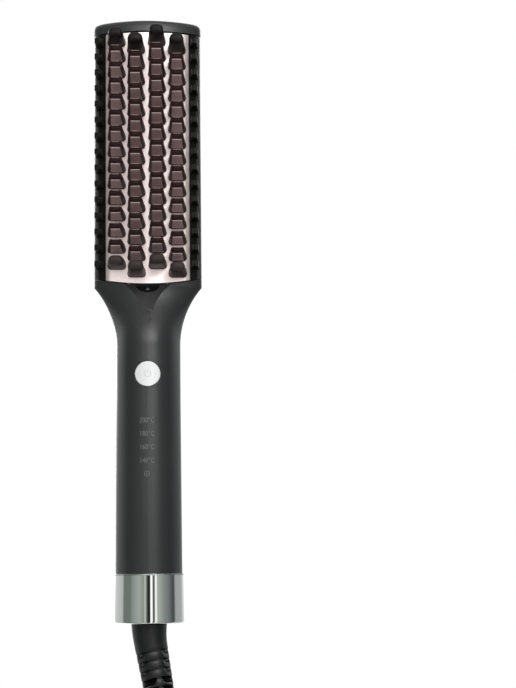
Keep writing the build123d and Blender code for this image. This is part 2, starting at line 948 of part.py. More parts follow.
def ion_generator():
    return block(-5.0, 5.0, generator_front, frame_web_front - part_gap, seam_low - 10.2, seam_low - 1.2)


save("ion_nozzle", ion_nozzle())
save("ion_needle", ion_needle())
save("ion_generator", ion_generator())
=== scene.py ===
from math import atan2, copysign, cos, degrees, hypot, pi, radians, sin, sqrt

import bmesh
import bpy
from mathutils import Matrix, Vector


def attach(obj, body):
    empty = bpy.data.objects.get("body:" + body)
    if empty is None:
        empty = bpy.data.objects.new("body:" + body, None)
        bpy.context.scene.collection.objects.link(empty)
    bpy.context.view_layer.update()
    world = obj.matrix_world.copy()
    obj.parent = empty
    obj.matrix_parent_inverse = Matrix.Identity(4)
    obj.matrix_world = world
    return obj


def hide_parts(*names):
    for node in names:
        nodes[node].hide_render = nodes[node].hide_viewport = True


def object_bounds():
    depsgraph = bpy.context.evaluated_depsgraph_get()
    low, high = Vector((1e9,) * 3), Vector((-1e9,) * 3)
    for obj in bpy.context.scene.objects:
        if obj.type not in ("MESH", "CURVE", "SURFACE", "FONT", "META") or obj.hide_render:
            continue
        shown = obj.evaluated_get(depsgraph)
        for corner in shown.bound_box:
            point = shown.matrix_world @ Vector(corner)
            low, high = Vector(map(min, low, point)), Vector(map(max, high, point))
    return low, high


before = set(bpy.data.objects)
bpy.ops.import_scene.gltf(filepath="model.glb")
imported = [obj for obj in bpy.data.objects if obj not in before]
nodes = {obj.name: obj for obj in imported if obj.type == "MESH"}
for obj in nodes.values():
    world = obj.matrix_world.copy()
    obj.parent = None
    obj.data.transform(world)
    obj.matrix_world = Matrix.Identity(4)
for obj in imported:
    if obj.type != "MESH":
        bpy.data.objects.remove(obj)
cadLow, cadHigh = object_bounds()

gripHeight = 0.065      # the frame's origin lies this far above the cuff's lower edge


def linear(hexColour):
    channels = [int(hexColour[i:i + 2], 16) / 255 for i in (1, 3, 5)]
    return [c / 12.92 if c <= 0.04045 else ((c + 0.055) / 1.055) ** 2.4 for c in channels] + [1.0]


def addNode(tree, kind, inputs=None, **settings):
    node = tree.nodes.new("ShaderNode" + kind)
    for key, value in settings.items():
        setattr(node, key, value)
    for key, value in (inputs or {}).items():
        if isinstance(value, bpy.types.NodeSocket):
            tree.links.new(value, node.inputs[key])
        else:
            node.inputs[key].default_value = value
    return node


def startMaterial(name):
    material = bpy.data.materials.new(name)
    material.use_nodes = True
    tree = material.node_tree
    return material, tree, tree.nodes["Principled BSDF"], addNode(tree, "TexCoord").outputs["Object"]


def addObject(name, data):
    thing = bpy.data.objects.new(name, data)
    bpy.context.scene.collection.objects.link(thing)
    return thing


def takeMesh(name, bm):
    mesh = bpy.data.meshes.new(name)
    bm.to_mesh(mesh)
    bm.free()
    return mesh


# The studio: camera, white surround, floor, lamps and the panels that polished parts mirror

studio = {
    "cameraPlace": (0.018, -0.748, -0.0420),
    "lens": 88.95,
    "yawRight": 2.345,
    "pitchUp": 7.51,
    "roll": -0.66,
    "ambient": 0.5,         # strength of the surround as light; seen or mirrored it is 1
    "floorHeight": cadLow.z,
    "floorGap": 0.0002,     # between the floor and the lowest piece
    "floorRadius": 30,
    "floorFade": (0.3, 1.1),        # metres from the middle between which the floor fades into the surround
    "panelRadius": 1.6,
    "panelDepth": 4.8,      # tall, so that the cuff mirrors the panels from high above too
    "panelMiddle": -0.8,
    "panelStrength": 1.3,
    "panelTurn": 1.4,       # degrees to the right of straight ahead that the panels' middle stands
    "panelStops": [         # bearing in degrees from the middle, colour, strength
        (-180, "#20221E", 1.0), (-176, "#FFFFFF", 2.2), (-164, "#FFFFFF", 2.2), (-156, "#D2D3D2", 1.1),
        (-139, "#C9CAC9", 1.0), (-99, "#B4B7B4", 1.0), (-90, "#6E756F", 1.0),
        (-66, "#6E766F", 1.0), (-54, "#8B928D", 1.0), (-43, "#999F9B", 1.0), (-33, "#A3A9A2", 1.0),
        (-26, "#9AA098", 1.0), (-18, "#8B9089", 1.0), (-13.8, "#BEC2BC", 1.0), (-10.6, "#A4A8A2", 1.0),
        (-7.4, "#5A5D57", 1.0), (-3, "#262824", 1.0), (3, "#20221E", 1.0), (6.0, "#FFFFFC", 1.3),
        (9.4, "#FFFFFC", 1.3), (12.3, "#5A5E58", 1.0), (17.9, "#5A5E58", 1.0), (20.5, "#FFFFF8", 1.05),
        (23.8, "#FFFFF8", 1.0), (27, "#B0B5AE", 1.0), (48, "#8A908B", 1.0), (66, "#747977", 1.0),
        (84, "#4A4E4F", 1.0), (90, "#4A4E4F", 1.0), (98, "#9FA2A1", 1.0), (134, "#A7A9A8", 1.0),
        (150, "#C8CAC8", 1.1),
    ],
    # name, place, aim, size, power, and whether polished parts mirror it
    "lamps": [
        # close to the line of sight, so their light reaches down between the columns of teeth
        ("keyFront", (0.02, -1.15, 0.02), (0, 0, 0.02), (0.06, 0.36), 5, False),
        ("keyLow", (0.02, -1.15, -0.25), (0, 0, 0.1), (0.06, 0.36), 7, False),
        # for the back
        ("keyRear", (-0.3, 1.15, 0.4), (0, 0, 0.05), (0.55, 0.5), 9, True),
        # a broad soft box, high up to the right, that draws the shine down the handle
        ("stripFront", (0.37, -1.35, 0.6), (0, 0, 0.1), (0.52, 0.6), 4.5, True),
        # a wider one behind it, so the shine fades out to the left
        ("fillFront", (0.12, -1.36, 0.6), (0, 0, 0.1), (1.3, 0.6), 8.5, True),
        # behind, to edge the head with light, and too high for the upright chrome to mirror
        ("rimRight", (1.13, 0.82, 0.7), (0, 0, 0.14), (0.35, 0.45), 6, True),
        ("rimLeft", (-1.13, 0.82, 0.7), (0, 0, 0.14), (0.35, 0.45), 9, True),
    ],
}


def makeCamera():
    data = bpy.data.cameras.new("camera")
    data.lens = studio["lens"]
    data.clip_start = 0.01      # metres
    camera = addObject("camera", data)
    turn = (Matrix.Rotation(radians(-studio["yawRight"]), 4, "Z")
            @ Matrix.Rotation(radians(90 + studio["pitchUp"]), 4, "X")
            @ Matrix.Rotation(radians(studio["roll"]), 4, "Z"))
    camera.matrix_world = Matrix.Translation(studio["cameraPlace"]) @ turn
    bpy.context.scene.camera = camera


def makeWorld():
    # white where it is seen or mirrored, and weaker as a light
    world = bpy.data.worlds.new("whiteSurround")
    bpy.context.scene.world = world
    world.use_nodes = True
    tree = world.node_tree
    tree.nodes.clear()
    path = addNode(tree, "LightPath")
    seen = path.outputs["Is Camera Ray"]
    for kind in ("Is Glossy Ray", "Is Transmission Ray"):
        seen = addNode(tree, "Math", {0: seen, 1: path.outputs[kind]}, operation="MAXIMUM").outputs[0]
    strength = addNode(tree, "MapRange", {"Value": seen, "To Min": studio["ambient"]})
    sky = addNode(tree, "Background", {"Color": (1, 1, 1, 1), "Strength": strength.outputs[0]})
    addNode(tree, "OutputWorld", {"Surface": sky.outputs[0]})


def makeFloor():
    bm = bmesh.new()
    bmesh.ops.create_circle(bm, cap_ends=True, segments=96, radius=studio["floorRadius"])
    bmesh.ops.translate(bm, verts=bm.verts, vec=(0, 0, studio["floorHeight"] - studio["floorGap"]))
    floor = addObject("floor", takeMesh("floor", bm))
    # matt white board that fades into the surround
    material, tree, shader, coords = startMaterial("paleFloor")
    shader.inputs["Base Color"].default_value = linear("#F2F2F0")
    shader.inputs["Roughness"].default_value = 0.9
    fadeStart, fadeEnd = studio["floorFade"]
    radius = addNode(tree, "VectorMath", {0: coords}, operation="LENGTH")
    fade = addNode(tree, "MapRange", {"Value": radius.outputs["Value"], "From Min": fadeStart,
                                      "From Max": fadeEnd}, interpolation_type="SMOOTHSTEP")
    glow = addNode(tree, "Emission", {"Color": (1, 1, 1, 1)})
    mix = addNode(tree, "MixShader", {0: fade.outputs[0], 1: shader.outputs[0], 2: glow.outputs[0]})
    tree.links.new(mix.outputs[0], tree.nodes["Material Output"].inputs["Surface"])
    floor.data.materials.append(material)
    floor.visible_diffuse = False
    floor.visible_glossy = False        # so polished parts mirror the panels from above too


def makePanels():
    # a ring of grey cards and soft boxes, there for mirror-like finishes only
    radius = studio["panelRadius"]
    bm = bmesh.new()
    bmesh.ops.create_cone(bm, cap_ends=False, segments=128, radius1=radius, radius2=radius,
                          depth=studio["panelDepth"])
    bmesh.ops.translate(bm, verts=bm.verts, vec=(0, 0, studio["panelMiddle"]))
    panels = addObject("panels", takeMesh("panels", bm))
    material, tree, shader, coords = startMaterial("panelCard")
    tree.nodes.remove(shader)
    place = addNode(tree, "SeparateXYZ", {0: coords})
    ahead = addNode(tree, "Math", {0: place.outputs["Y"], 1: -1.0}, operation="MULTIPLY")
    angle = addNode(tree, "Math", {0: place.outputs["X"], 1: ahead.outputs[0]}, operation="ARCTAN2")
    turn = radians(studio["panelTurn"])
    share = addNode(tree, "MapRange", {"Value": angle.outputs[0], "From Min": turn - pi,
                                       "From Max": turn + pi})
    ramp = addNode(tree, "ValToRGB", {0: share.outputs[0]})
    stops = ramp.color_ramp.elements
    while len(stops) > 1:
        stops.remove(stops[-1])
    for count, (bearing, colour, strength) in enumerate(studio["panelStops"]):
        position = (bearing + 180) / 360
        stop = stops[0] if count == 0 else stops.new(position)
        stop.position = position
        stop.color = [c * strength for c in linear(colour)[:3]] + [1.0]
    glow = addNode(tree, "Emission", {"Color": ramp.outputs["Color"], "Strength": studio["panelStrength"]})
    tree.links.new(glow.outputs[0], tree.nodes["Material Output"].inputs["Surface"])
    panels.data.materials.append(material)
    panels.visible_camera = False
    panels.visible_diffuse = False
    panels.visible_transmission = False
    panels.visible_shadow = False


def addLamp(name, place, aim, size, power, mirrored):
    data = bpy.data.lights.new(name, "AREA")
    data.shape = "RECTANGLE"
    data.size, data.size_y = size
    data.energy = power
    lamp = addObject(name, data)
    lamp.location = place
    lamp.rotation_euler = (Vector(aim) - Vector(place)).to_track_quat("-Z", "Y").to_euler()
    lamp.visible_camera = False
    lamp.visible_glossy = mirrored


makeCamera()
makeWorld()
makeFloor()
makePanels()
for lamp in studio["lamps"]:
    addLamp(*lamp)
bpy.context.scene.view_settings.view_transform = "Standard"
print("studio ready")


# Finishes: patches, grains, lines and bumps are real sizes in millimetres


def addPattern(tree, shader, tones, grains, dark, pale, roughness, spread, bump):
    # one pattern moves the colour and the shine between two values, one raises the surface
    colour = addNode(tree, "Mix", {0: tones, 6: linear(dark), 7: linear(pale)}, data_type="RGBA")
    shine = addNode(tree, "MapRange", {"Value": tones, "To Min": roughness - spread,
                                       "To Max": roughness + spread})
    relief = addNode(tree, "Bump", {"Height": grains, "Distance": bump / 1000})
    tree.links.new(colour.outputs[2], shader.inputs["Base Color"])
    tree.links.new(shine.outputs[0], shader.inputs["Roughness"])
    tree.links.new(relief.outputs[0], shader.inputs["Normal"])


def speckled(name, dark, pale, roughness, grain, bump, patch=20, spread=0.05, metallic=0.0, specular=0.5):
    # colour drifts between two near tones over patches, over a fine grain that breaks the shine
    material, tree, shader, coords = startMaterial(name)
    patches = addNode(tree, "TexNoise", {"Vector": coords, "Scale": 1000 / patch, "Detail": 3.0})
    grains = addNode(tree, "TexNoise", {"Vector": coords, "Scale": 1000 / grain, "Detail": 2.0})
    addPattern(tree, shader, patches.outputs[0], grains.outputs[0], dark, pale, roughness, spread, bump)
    shader.inputs["Metallic"].default_value = metallic
    shader.inputs["Specular IOR Level"].default_value = specular
    return material


def brushed(name, dark, pale, roughness, stretch, line, bump, spread=0.06):
    # fine parallel scratches in metal: noise drawn out along one axis
    material, tree, shader, coords = startMaterial(name)
    drawn = addNode(tree, "Mapping", {"Vector": coords, "Scale": stretch})
    lines = addNode(tree, "TexNoise", {"Vector": drawn.outputs[0], "Scale": 1000 / line, "Detail": 3.0})
    addPattern(tree, shader, lines.outputs[0], lines.outputs[0], dark, pale, roughness, spread, bump)
    shader.inputs["Metallic"].default_value = 1.0
    return material


# soft-touch lacquer on moulded ABS: matt charcoal with a broad soft shine
softTouch = speckled("softTouchLacquer", "#1B1B1D", "#1F1F20", 0.38, 0.4, 0.006, patch=30)

# the same lacquer, paler, along the head's outer corners: a painted highlight where they turn toward the
# side light
rimHighlightLacquer = speckled("paintedHighlightLacquer", "#212221", "#292A29", 0.36, 0.4, 0.008, patch=10)

# glass-filled nylon, moulded black: semi-matt with a fine spark-eroded grain
combNylon = speckled("mouldedBlackNylon", "#0E0E0D", "#131312", 0.36, 0.5, 0.01, patch=8, specular=0.07)

# deep recesses: near-black and dull, taking no shine; the near-black is painted shade
recessShadeBlack = speckled("paintedShadeRecessBlack", "#060606", "#090909", 0.7, 0.6, 0.02, patch=4, specular=0.08)

# silicone-modified heat-proof plastic, dark brown, dulled by the release powder of its mould
toothPlastic = speckled("brownToothPlastic", "#261413", "#311B1A", 0.45, 0.6, 0.006, patch=6, specular=0.06)

# the same, darker, on the flat ends of the tips: painted shade
shadedTipPlastic = speckled("paintedShadeToothTips", "#140808", "#1E0E0D", 0.4, 0.6, 0.006, patch=4, specular=0.06)

# its flat upper and lower pads, which the etched mould leaves rough, coloured much paler: painted light on
# the lit lower faces
litPadPlastic = speckled("paintedLightBrownPads", "#997E7E", "#AD9090", 0.4, 0.6, 0.016, patch=3)

# painted highlight along the tips' upper slopes and round the pads
highlightEdgePlastic = speckled("paintedHighlightBrownEdges", "#6A5A55", "#7C6D67", 0.35, 0.6, 0.006, patch=3)

# the thin lip under each tip, the palest part: a painted highlight
highlightLipPlastic = speckled("paintedHighlightTipLip", "#B7A8A3", "#D2C6C1", 0.35, 0.6, 0.006, patch=4)

# the same plastic moulded in black, for the topmost row
endToothPlastic = speckled("blackToothPlastic", "#0E0B0A", "#161210", 0.45, 0.6, 0.008, patch=6,
                           specular=0.14)

# the same black dulled to a sooty brown, for the lowest row
sootyToothPlastic = speckled("sootyToothPlastic", "#241D1C", "#2F2726", 0.45, 0.6, 0.008, patch=6,
                             specular=0.14)

# sprayed tourmaline ceramic on aluminium: pale rose, satin, with faint cloudiness
plateCoating = speckled("roseCeramicCoating", "#F2DEDC", "#FBF0EE", 0.34, 0.5, 0.004, patch=12,
                        metallic=0.2)

plateEdge = {
    "rolls": (16.6, 18.8),      # millimetres from the middle line between which the edge falls back
    "fall": 1.2,
    # painted shade: over these bands the coating darkens, and turns near-black at the very edge
    "tans": (15.5, 18.5),
    "tan": "#A2948F",
    "tanShare": 0.6,
    "deepShadeRamp": (18.2, 18.8),
    "hidden": "#2A2624",
}


def paintShadeOnPlateEdges(material):
    # its two long edges are rolled back into the housing, and painted shade darkens them toward a near-black
    # at the very edge
    tree = material.node_tree
    shader = tree.nodes["Principled BSDF"]
    coated, grained = [shader.inputs[name].links[0].from_socket for name in ("Base Color", "Normal")]
    coords = addNode(tree, "TexCoord").outputs["Object"]
    place = addNode(tree, "SeparateXYZ", {0: coords})
    across = addNode(tree, "Math", {0: place.outputs["X"]}, operation="ABSOLUTE")
    bands = [addNode(tree, "MapRange", {"Value": across.outputs[0], "From Min": start / 1000,
                                        "From Max": end / 1000}, interpolation_type="SMOOTHSTEP")
             for start, end in (plateEdge["rolls"], plateEdge["tans"], plateEdge["deepShadeRamp"])]
    rolls, tans, deepShadeRamp = bands
    tans.inputs["To Max"].default_value = plateEdge["tanShare"]
    tanned = addNode(tree, "Mix", {0: tans.outputs[0], 6: coated, 7: linear(plateEdge["tan"])},
                     data_type="RGBA")
    deepShadedCoat = addNode(tree, "Mix", {0: deepShadeRamp.outputs[0], 6: tanned.outputs[2],
                                     7: linear(plateEdge["hidden"])}, data_type="RGBA")
    height = addNode(tree, "Math", {0: 1.0, 1: rolls.outputs[0]}, operation="SUBTRACT")
    relief = addNode(tree, "Bump", {"Height": height.outputs[0], "Distance": plateEdge["fall"] / 1000,
                                    "Normal": grained})
    tree.links.new(deepShadedCoat.outputs[2], shader.inputs["Base Color"])
    tree.links.new(relief.outputs[0], shader.inputs["Normal"])


paintShadeOnPlateEdges(plateCoating)

# decorative chromium plate on ABS: a mirror with very faint waviness from the moulding
chromePlate = speckled("chromePlate", "#D6D9D8", "#DEE0DF", 0.045, 6, 0.004, patch=20, spread=0.012,
                       metallic=1)

# the same plate on the cuff's upper rim, blasted satin before plating
satinChrome = speckled("satinChromeRim", "#8E9190", "#9A9D9C", 0.45, 0.3, 0.004, patch=4, metallic=1)

# satin silver paint under clear lacquer: nearly white, softly shaded
silverPaint = speckled("satinSilverPaint", "#BCBEBE", "#C6C8C8", 0.45, 0.3, 0.003, patch=4, metallic=0.15)

# pad-printed grey ink: dull, a little uneven
greyInk = speckled("greyPadInk", "#4F4F4F", "#5A5A5A", 0.6, 0.2, 0.002, patch=1)

# ink of the button's mark, a shade darker than the silver paint
paleInk = speckled("paleGreyInk", "#9C9F9F", "#A5A8A8", 0.5, 0.2, 0.002, patch=1)

# natural black nylon for hidden frames: dull with a coarse grain
chassisNylon = speckled("chassisNylon", "#262627", "#303031", 0.5, 0.6, 0.02)

# thermoplastic elastomer, moulded: matt black with a dry bloom
bootRubber = speckled("mouldedElastomer", "#090A0A", "#0D0E0E", 0.42, 0.5, 0.01, patch=10, specular=0.42)

# flexible PVC: satin black, slightly waxy
cordVinyl = speckled("flexibleVinyl", "#1D1D1D", "#242424", 0.42, 0.8, 0.012, patch=30)

# nickel-plated brass pins
nickelPlate = brushed("nickelPlate", "#B8B2A6", "#CFC9BD", 0.22, (1, 0.05, 1), 0.4, 0.002)

# steel blued by heat: dark grey, dull
bluedSteel = brushed("bluedSteel", "#4A4C4E", "#5C5E60", 0.5, (1, 0.1, 1), 0.5, 0.003)

# hook-and-loop tape of the cord's strap: black, with a short woven pile that takes no shine
pileTape = speckled("wovenPileTape", "#141415", "#1E1E20", 0.85, 0.7, 0.12, patch=2)

# zinc-plated steel: bluish grey with fine drawing marks
zincSteel = brushed("zincPlatedSteel", "#9EA3A8", "#B9BDC1", 0.3, (1, 0.1, 1), 0.5, 0.003)

# rolled aluminium sheet, lines along its length
rolledAluminium = brushed("rolledAluminium", "#C3C5C7", "#D8DADB", 0.32, (1, 1, 0.04), 0.4, 0.002)

# turned brass rings
turnedBrass = brushed("turnedBrass", "#B8934A", "#D0AC62", 0.25, (0.1, 0.1, 1), 0.3, 0.002)

# alumina heater: off-white, dry, with a fine sintered grain
aluminaCeramic = speckled("sinteredAlumina", "#E2DED2", "#ECE9DF", 0.55, 0.3, 0.01)

# black epoxy of chips, transistors and capacitors
blackEpoxy = speckled("blackEpoxy", "#1A1A1B", "#232325", 0.45, 0.3, 0.01, patch=4)

# yellow flame-proof tape round the film capacitor
yellowTape = speckled("yellowFilmTape", "#D9A91F", "#E5B935", 0.35, 1, 0.01, patch=6)

# silicone-glass sleeves of the leads, woven: pale and fuzzy
wovenSleeve = speckled("wovenGlassSleeve", "#D8D2C4", "#EAE5D8", 0.7, 0.4, 0.03, patch=2)


def makeSolderMask():
    # glass-epoxy board under green solder mask, with tracks of copper showing paler through it
    material, tree, shader, coords = startMaterial("greenSolderMask")
    # rows of tracks 2.8 mm apart, over a weave of 0.7 mm
    tracks = addNode(tree, "TexBrick", {"Vector": coords, "Scale": 90.0, "Color1": linear("#1F6B3A"),
                                        "Color2": linear("#1A5E33"), "Mortar": linear("#3C8A55"),
                                        "Mortar Size": 0.03})
    weave = addNode(tree, "TexNoise", {"Vector": coords, "Scale": 1500.0})
    relief = addNode(tree, "Bump", {"Height": weave.outputs[0], "Distance": 0.000004})
    tree.links.new(tracks.outputs["Color"], shader.inputs["Base Color"])
    tree.links.new(relief.outputs[0], shader.inputs["Normal"])
    shader.inputs["Roughness"].default_value = 0.3
    return material


def makeFrostedClear(name, tint, roughness):
    # polycarbonate or glass that lets light through, frosted by its mould
    material = speckled(name, tint, "#FFFFFF", roughness, 0.4, 0.005, patch=6)
    shader = material.node_tree.nodes["Principled BSDF"]
    shader.inputs["Transmission Weight"].default_value = 0.85
    shader.inputs["IOR"].default_value = 1.58
    return material


solderMask = makeSolderMask()
frostedGuide = makeFrostedClear("frostedPolycarbonate", "#E6EAEA", 0.35)
glassBead = makeFrostedClear("fusedGlass", "#D8C7B0", 0.15)

# the solids' own finishes; most of the inner ones are hidden
solidFinishes = [
    (softTouch, "handle_front", "handle_rear", "head_cover", "end_cap"),
    (combNylon, "side_comb_left", "side_comb_right"),
    (plateCoating, "heating_plate"),
    (toothPlastic, "tooth_caps_outer_left", "tooth_caps_inner_left", "tooth_caps_inner_right",
     "tooth_caps_outer_right"),
    # the ion nozzle's opening takes the near-black recess finish: painted shade
    (recessShadeBlack, "ion_nozzle"),
    (chromePlate, "cuff_sleeve"),
    (silverPaint, "button"),
    (bootRubber, "cord_boot"),
    (cordVinyl, "cord_lead", "cord_coil", "cord_tail", "cord_tie", "plug_body"),
    (nickelPlate, "plug_pins"),
    (chassisNylon, "head_frame", "contact_block", "end_bush", "swivel_collar", "tact_switch",
     "switch_plunger"),
    (zincSteel, "clamp_screws", "board_screws", "frame_screws", "thermal_fuse"),
    (bluedSteel, "ion_needle"),
    (turnedBrass, "contact_springs", "slip_rings"),
    (rolledAluminium, "heater_clamp", "heat_shield"),
    (aluminaCeramic, "ceramic_heater"),
    (solderMask, "control_board"),
    (frostedGuide, "indicator_leds", "light_guide"),
    (glassBead, "thermistor", "board_fuse"),
    (yellowTape, "film_capacitor"),
    (blackEpoxy, "smoothing_capacitor", "triac", "controller_chip", "ion_generator"),
    (wovenSleeve, "supply_leads", "heater_leads"),
]

for finish, *names in solidFinishes:
    for name in names:
        nodes[name].data.materials.clear()
        nodes[name].data.materials.append(finish)
print("finishes ready")


# What the pieces share


def inFrame(point):
    # millimetres up from the cuff's lower edge to metres in the frame
    return Vector(point) / 1000 - Vector((0, 0, gripHeight))


def moveIntoFrame(bm, place):
    # from millimetres round a place to metres in the frame
    bmesh.ops.scale(bm, verts=bm.verts, vec=(0.001, 0.001, 0.001))
    bmesh.ops.translate(bm, verts=bm.verts, vec=inFrame(place))


def makePiece(name, bm, body, finish, sharpAngle=40, recalculate=True):
    if recalculate:
        bmesh.ops.recalc_face_normals(bm, faces=bm.faces)
    mesh = takeMesh(name, bm)
    mesh.shade_smooth()
    mesh.set_sharp_from_angle(angle=radians(sharpAngle))
    mesh.materials.append(finish)
    piece = addObject(name, mesh)
    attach(piece, body)
    return piece


def easeEdges(piece, width, sharpAngle):
    bevel = piece.modifiers.new("easedEdges", "BEVEL")
    bevel.width = width / 1000
    bevel.segments = 2
    bevel.limit_method = "ANGLE"
    bevel.angle_limit = radians(sharpAngle)


# The cord: down from the boot, round the coil and up to the plug

cord = {
    "diameter": 0.006,      # metres; the places below are in millimetres
    "lead": [(6.602, 0, -44.451), (9.144, 0, -59.640), (15.1, 2.7, -74.3), (21.5, 10.6, -86.5),
             (24.1, 23.4, -95.1), (20.9, 37.9, -99.7), (11.3, 50.4, -101.5)],
    "tail": [(-6.3, 57.4, -103.0), (-20.5, 55.5, -101.0), (-32.5, 47.8, -97.8), (-40.2, 35.8, -94.0),
             (-42.2, 22.5, -92.0), (-42.2, 12.0, -92.0)],
    "coilCentre": (-9.2, 24.5),
    # radius and height of each turn
    "turns": [(39, -102), (39, -108), (39, -114), (33, -114), (33, -108), (27, -114), (27, -108),
              (27, -102)],
    "pointsPerTurn": 16,
    "climbPoints": 5,       # points at a turn's end over which the cord moves across to the next
    "startAngle": 51.6,
    "endAngle": 85.0,
    "easePoints": 3,        # points at both ends of the coil that lead the cord in and out
    "easeRadius": 33,       # their radius at the very end, and what it gains from point to point
    "easeGain": 1.5,
    "endHeight": -102.6,
}


def coilPoints():
    turns, perTurn = cord["turns"], cord["pointsPerTurn"]
    climb, ease = cord["climbPoints"], cord["easePoints"]
    total = len(turns) * perTurn + 1
    sweep = cord["endAngle"] - cord["startAngle"] + 360 * len(turns)
    outward = 1 / ((6 + 2 * cos(2 * pi / perTurn)) / 8)     # the curve runs inside its points
    points = []
    for step in range(1, total):
        angle = radians(cord["startAngle"] + sweep * step / total)
        turn, within = divmod(step, perTurn)
        here, after = [turns[min(count, len(turns) - 1)] for count in (turn, turn + 1)]
        share = max(0.0, (within - perTurn + climb) / climb)
        radius, height = [first + share * (second - first) for first, second in zip(here, after)]
        if step <= ease:
            radius = cord["easeRadius"] + step * cord["easeGain"]
        if step >= total - ease:
            radius = cord["easeRadius"] - (total - step) * cord["easeGain"]
            height = cord["endHeight"]
        points.append((cord["coilCentre"][0] + radius * outward * cos(angle),
                       cord["coilCentre"][1] + radius * outward * sin(angle), height))
    return points


def makeCord():
    route = [inFrame(p) for p in cord["lead"] + coilPoints() + cord["tail"]]
    curve = bpy.data.curves.new("mainsCord", "CURVE")
    curve.dimensions = "3D"
    curve.bevel_depth = cord["diameter"] / 2
    curve.bevel_resolution = 4
    curve.resolution_u = 4
    curve.use_fill_caps = True
    spline = curve.splines.new("NURBS")
    spline.points.add(len(route) - 1)
    for point, place in zip(spline.points, route):
        point.co = (*place, 1.0)
    spline.order_u = 3
    spline.use_endpoint_u = True
    curve.materials.append(cordVinyl)
    piece = addObject("mainsCord", curve)
    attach(piece, "swivel")
    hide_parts("cord_lead", "cord_coil", "cord_tail")
    return piece


mainsCord = makeCord()
print("cord ready")


# Tooth caps: a flat-sided peg with a flanged foot on every core of the plate

caps = {
    "columnPitch": 9.1,
    "rows": 15,
    "pitch": 7.24,
    "first": 153.0,
    "flange": (8.2, 5.4, 0.9),      # width, height and thickness of the foot
    "flangeCorners": (1.55, 2.0),   # lower two, upper two
    "root": (7.9, 5.0),
    "collar": 0.15,                 # the root stands this far out of the foot before the peg narrows
    "corners": (1.3, 1.2),
    "tip": (6.3, 3.1),
    "tipDrop": 0.2,
    "tipSteps": [(0.4, 5.9, 2.7), (0.25, 5.2, 2.1)],        # forward, width, height: the lip, then the nose
    "tipHighlightReach": 0.7,                 # the painted-highlight edges and the pale lip lie this close to the tip
    "domeCorners": (1.6, 2.2),
    "domeTip": (6.8, 4.6),
    "domeSteps": [(1.4, 6.9, 4.4), (1.2, 6.4, 4.0), (0.9, 5.4, 3.2), (0.45, 3.8, 2.1), (0.12, 1.9, 1.0)],
    "earLine": -1.15,       # the peg is widest at this height and draws in above it
    "drawIn": 0.055,        # share of the width lost per millimetre
    "domeDrawIn": 0.6,      # what the domed caps draw in, as a share of that
    "padInset": 0.22,
    "padSink": 0.05,
    "edge": 0.2,
    "edgeAngle": 40,        # degrees past which an edge is rounded, and past which it shades sharp
    "sharpAngle": 44,
    # name, node, place across, offset up, seat, tip, and the rises of the lowest and the topmost dome
    "columns": [("OuterLeft", "outer_left", -1.49, 3.62, -8.0, -22.4, (-0.5, 0.4)),
                ("InnerLeft", "inner_left", -0.53, 0.0, -9.0, -26.3, (0.3, 0.3)),
                ("InnerRight", "inner_right", 0.49, 3.62, -9.0, -26.3, (-0.4, 0.5)),
                ("OuterRight", "outer_right", 1.46, 0.0, -8.0, -22.4, (0.3, 1.2))],
}

# a face's material index is its finish's place in this row
capFinishes = (toothPlastic, litPadPlastic, highlightEdgePlastic, highlightLipPlastic, endToothPlastic, shadedTipPlastic,
               sootyToothPlastic)


def paint(face, finish):
    face.material_index = capFinishes.index(finish)


def stretchTo(bm, verts, width, height):
    xs = [v.co.x for v in verts]
    zs = [v.co.z for v in verts]
    middle = Matrix.Translation((0, 0, -(max(zs) + min(zs)) / 2))
    shares = (width / (max(xs) - min(xs)), 1, height / (max(zs) - min(zs)))
    bmesh.ops.scale(bm, verts=verts, vec=shares, space=middle)


def frontFace(bm):
    return min(bm.faces, key=lambda f: (round(f.calc_center_median().y, 3), -f.calc_area()))


def extrudeForward(bm, distance, width, height):
    region = bmesh.ops.extrude_face_region(bm, geom=[frontFace(bm)])
    verts = [e for e in region["geom"] if isinstance(e, bmesh.types.BMVert)]
    bmesh.ops.translate(bm, verts=verts, vec=(0, -distance, 0))
    stretchTo(bm, verts, width, height)
    return verts


def addSlab(bm, width, height, back, front, corner, upper, segments):
    # a flat slab whose four corners are rounded, the upper two by their own radius
    verts = bmesh.ops.create_cube(bm, size=1)["verts"]
    bmesh.ops.scale(bm, verts=verts, vec=(width, back - front, height))
    bmesh.ops.translate(bm, verts=verts, vec=(0, (back + front) / 2, 0))
    for sign, offset in ((-1, corner), (1, upper)):
        edges = [e for e in bm.edges if e.is_valid and all(v.co.z * sign > height * 0.49 for v in e.verts)
                 and abs(e.verts[0].co.y - e.verts[1].co.y) > (back - front) * 0.9
                 and min(v.co.y for v in e.verts) < front + 0.001]
        bmesh.ops.bevel(bm, geom=edges, offset=offset, segments=segments, affect="EDGES", profile=0.5,
                        material=-1)


def paintCap(bm, pads, length):
    # painted light: the tip's upper slopes carry a painted highlight, the lip under it a paler one, and its
    # flat end painted shade
    for face in bm.faces:
        fromTip = face.calc_center_median().y + length
        if fromTip < caps["tipHighlightReach"] and face.normal.y > -0.99 and abs(face.normal.x) < 0.1:
            if face.normal.z > 0.3:
                paint(face, highlightEdgePlastic)
            elif fromTip > caps["tipSteps"][-1][0]:
                paint(face, highlightLipPlastic)
        # the flat end takes the darker tip plastic: painted shade
        if fromTip < 0.05 and face.normal.y < -0.99:
            paint(face, shadedTipPlastic)
    # the pads take the pale pad plastic: painted light
    for pad in pads:
        paint(pad, litPadPlastic)
    # the rims round the pads take the edge plastic: a painted highlight
    rims = bmesh.ops.inset_individual(bm, faces=pads, thickness=caps["padInset"], depth=-caps["padSink"])
    for rim in rims["faces"]:
        paint(rim, highlightEdgePlastic)


